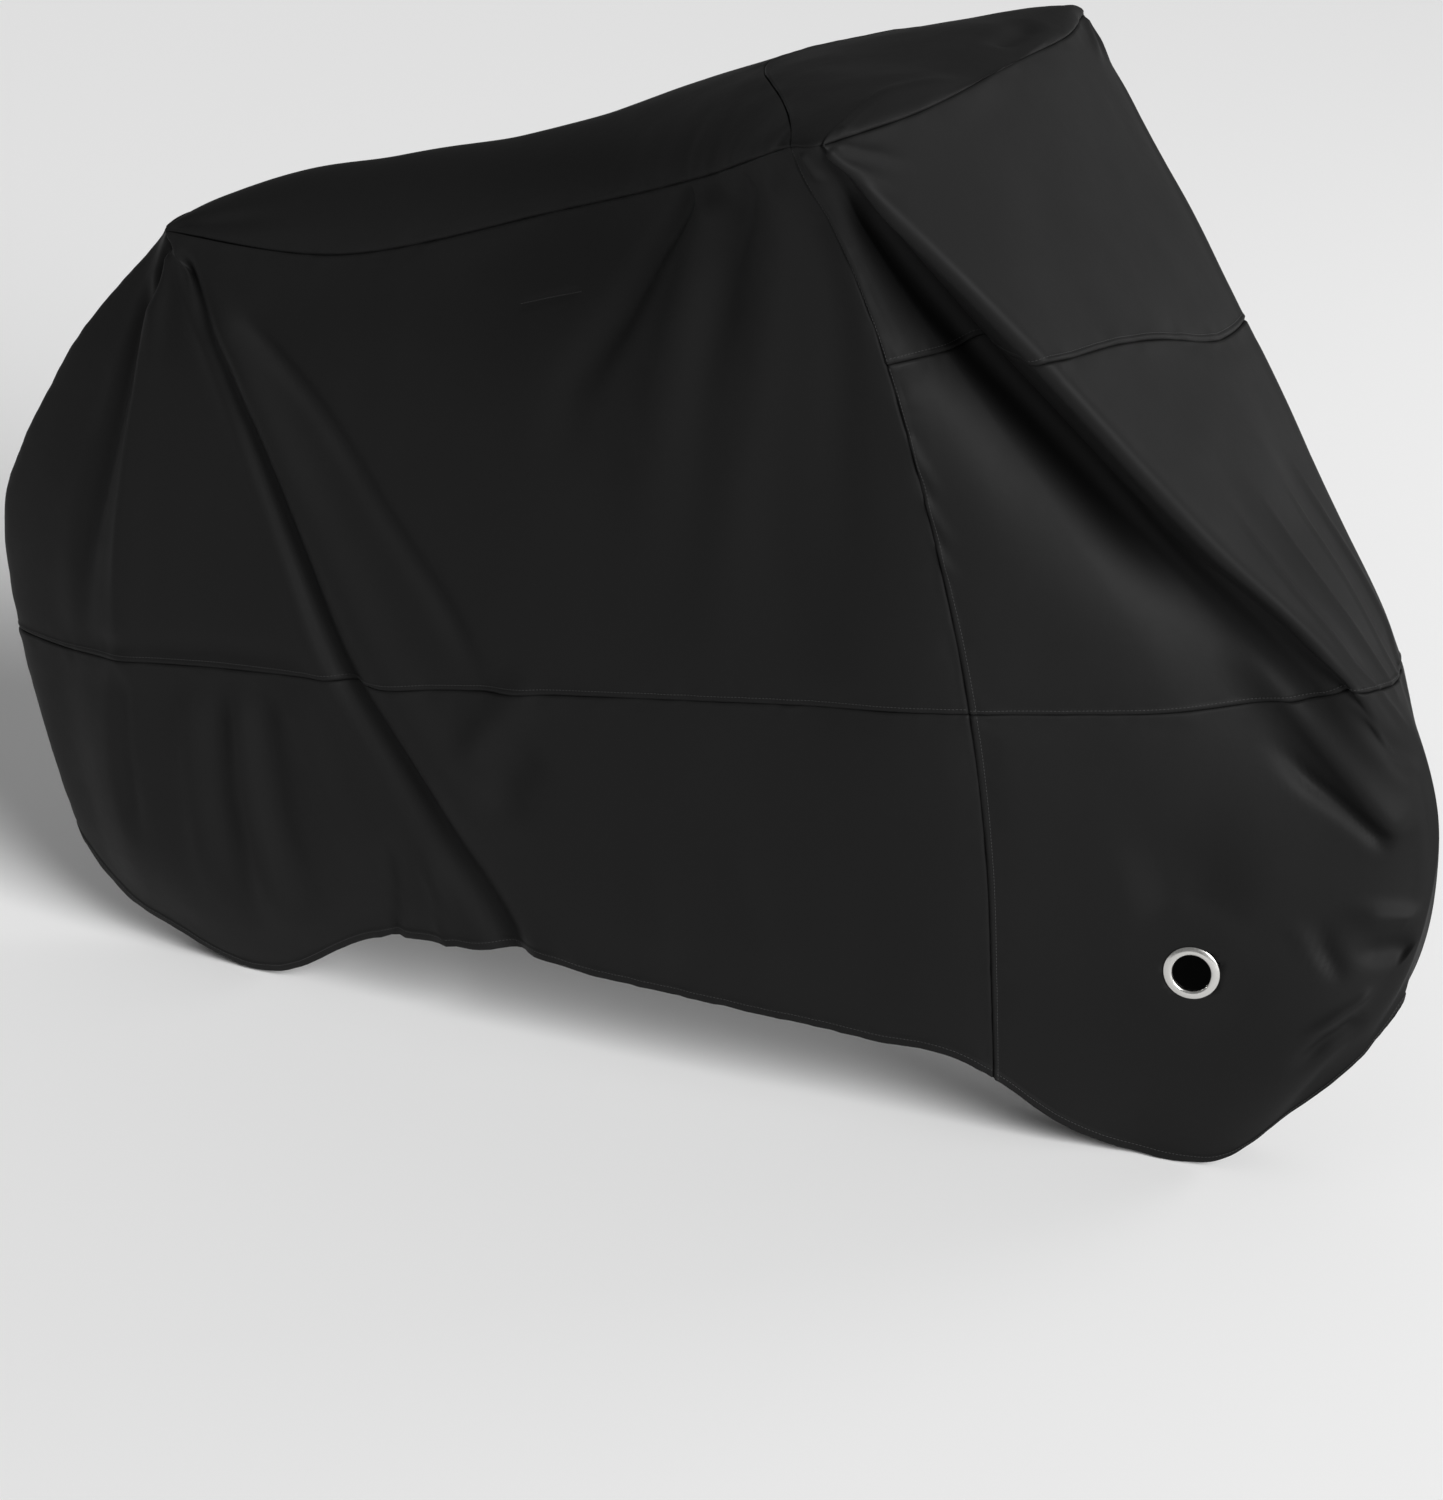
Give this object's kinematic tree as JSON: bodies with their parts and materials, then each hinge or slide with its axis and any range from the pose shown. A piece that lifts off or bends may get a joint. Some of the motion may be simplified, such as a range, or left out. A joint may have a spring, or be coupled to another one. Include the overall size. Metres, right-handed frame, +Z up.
{
  "type": "motorcycle cover",
  "caption": "Fitted protective cover of coated cloth, open below, as it drapes over a small motorcycle, with ringed eyelets low at the front.",
  "frame": {"origin": "on the ground under the middle of the cover, which is the bottom centre of its box", "axes": "+X to the front of the covered machine, +Y to its left, +Z up"},
  "size_m": [1.8783, 0.7164, 1.2521],
  "materials": {
    "cover_cloth": "black coated polyester cloth, satin",
    "eyelet_metal": "bright nickel-plated, polished"
  },
  "bodies": {
    "root": {"panel_side_right_lower": "cover_cloth", "panel_side_right_upper": "cover_cloth", "panel_side_left_lower": "cover_cloth", "panel_side_left_upper": "cover_cloth", "panel_front_lower": "cover_cloth", "panel_front_middle": "cover_cloth", "panel_front_upper": "cover_cloth", "panel_top_rear": "cover_cloth", "panel_top_front": "cover_cloth", "eyelet_patch_right": "cover_cloth", "eyelet_ring_right": "eyelet_metal", "eyelet_patch_left": "cover_cloth", "eyelet_ring_left": "eyelet_metal"}
  },
  "joints": []
}
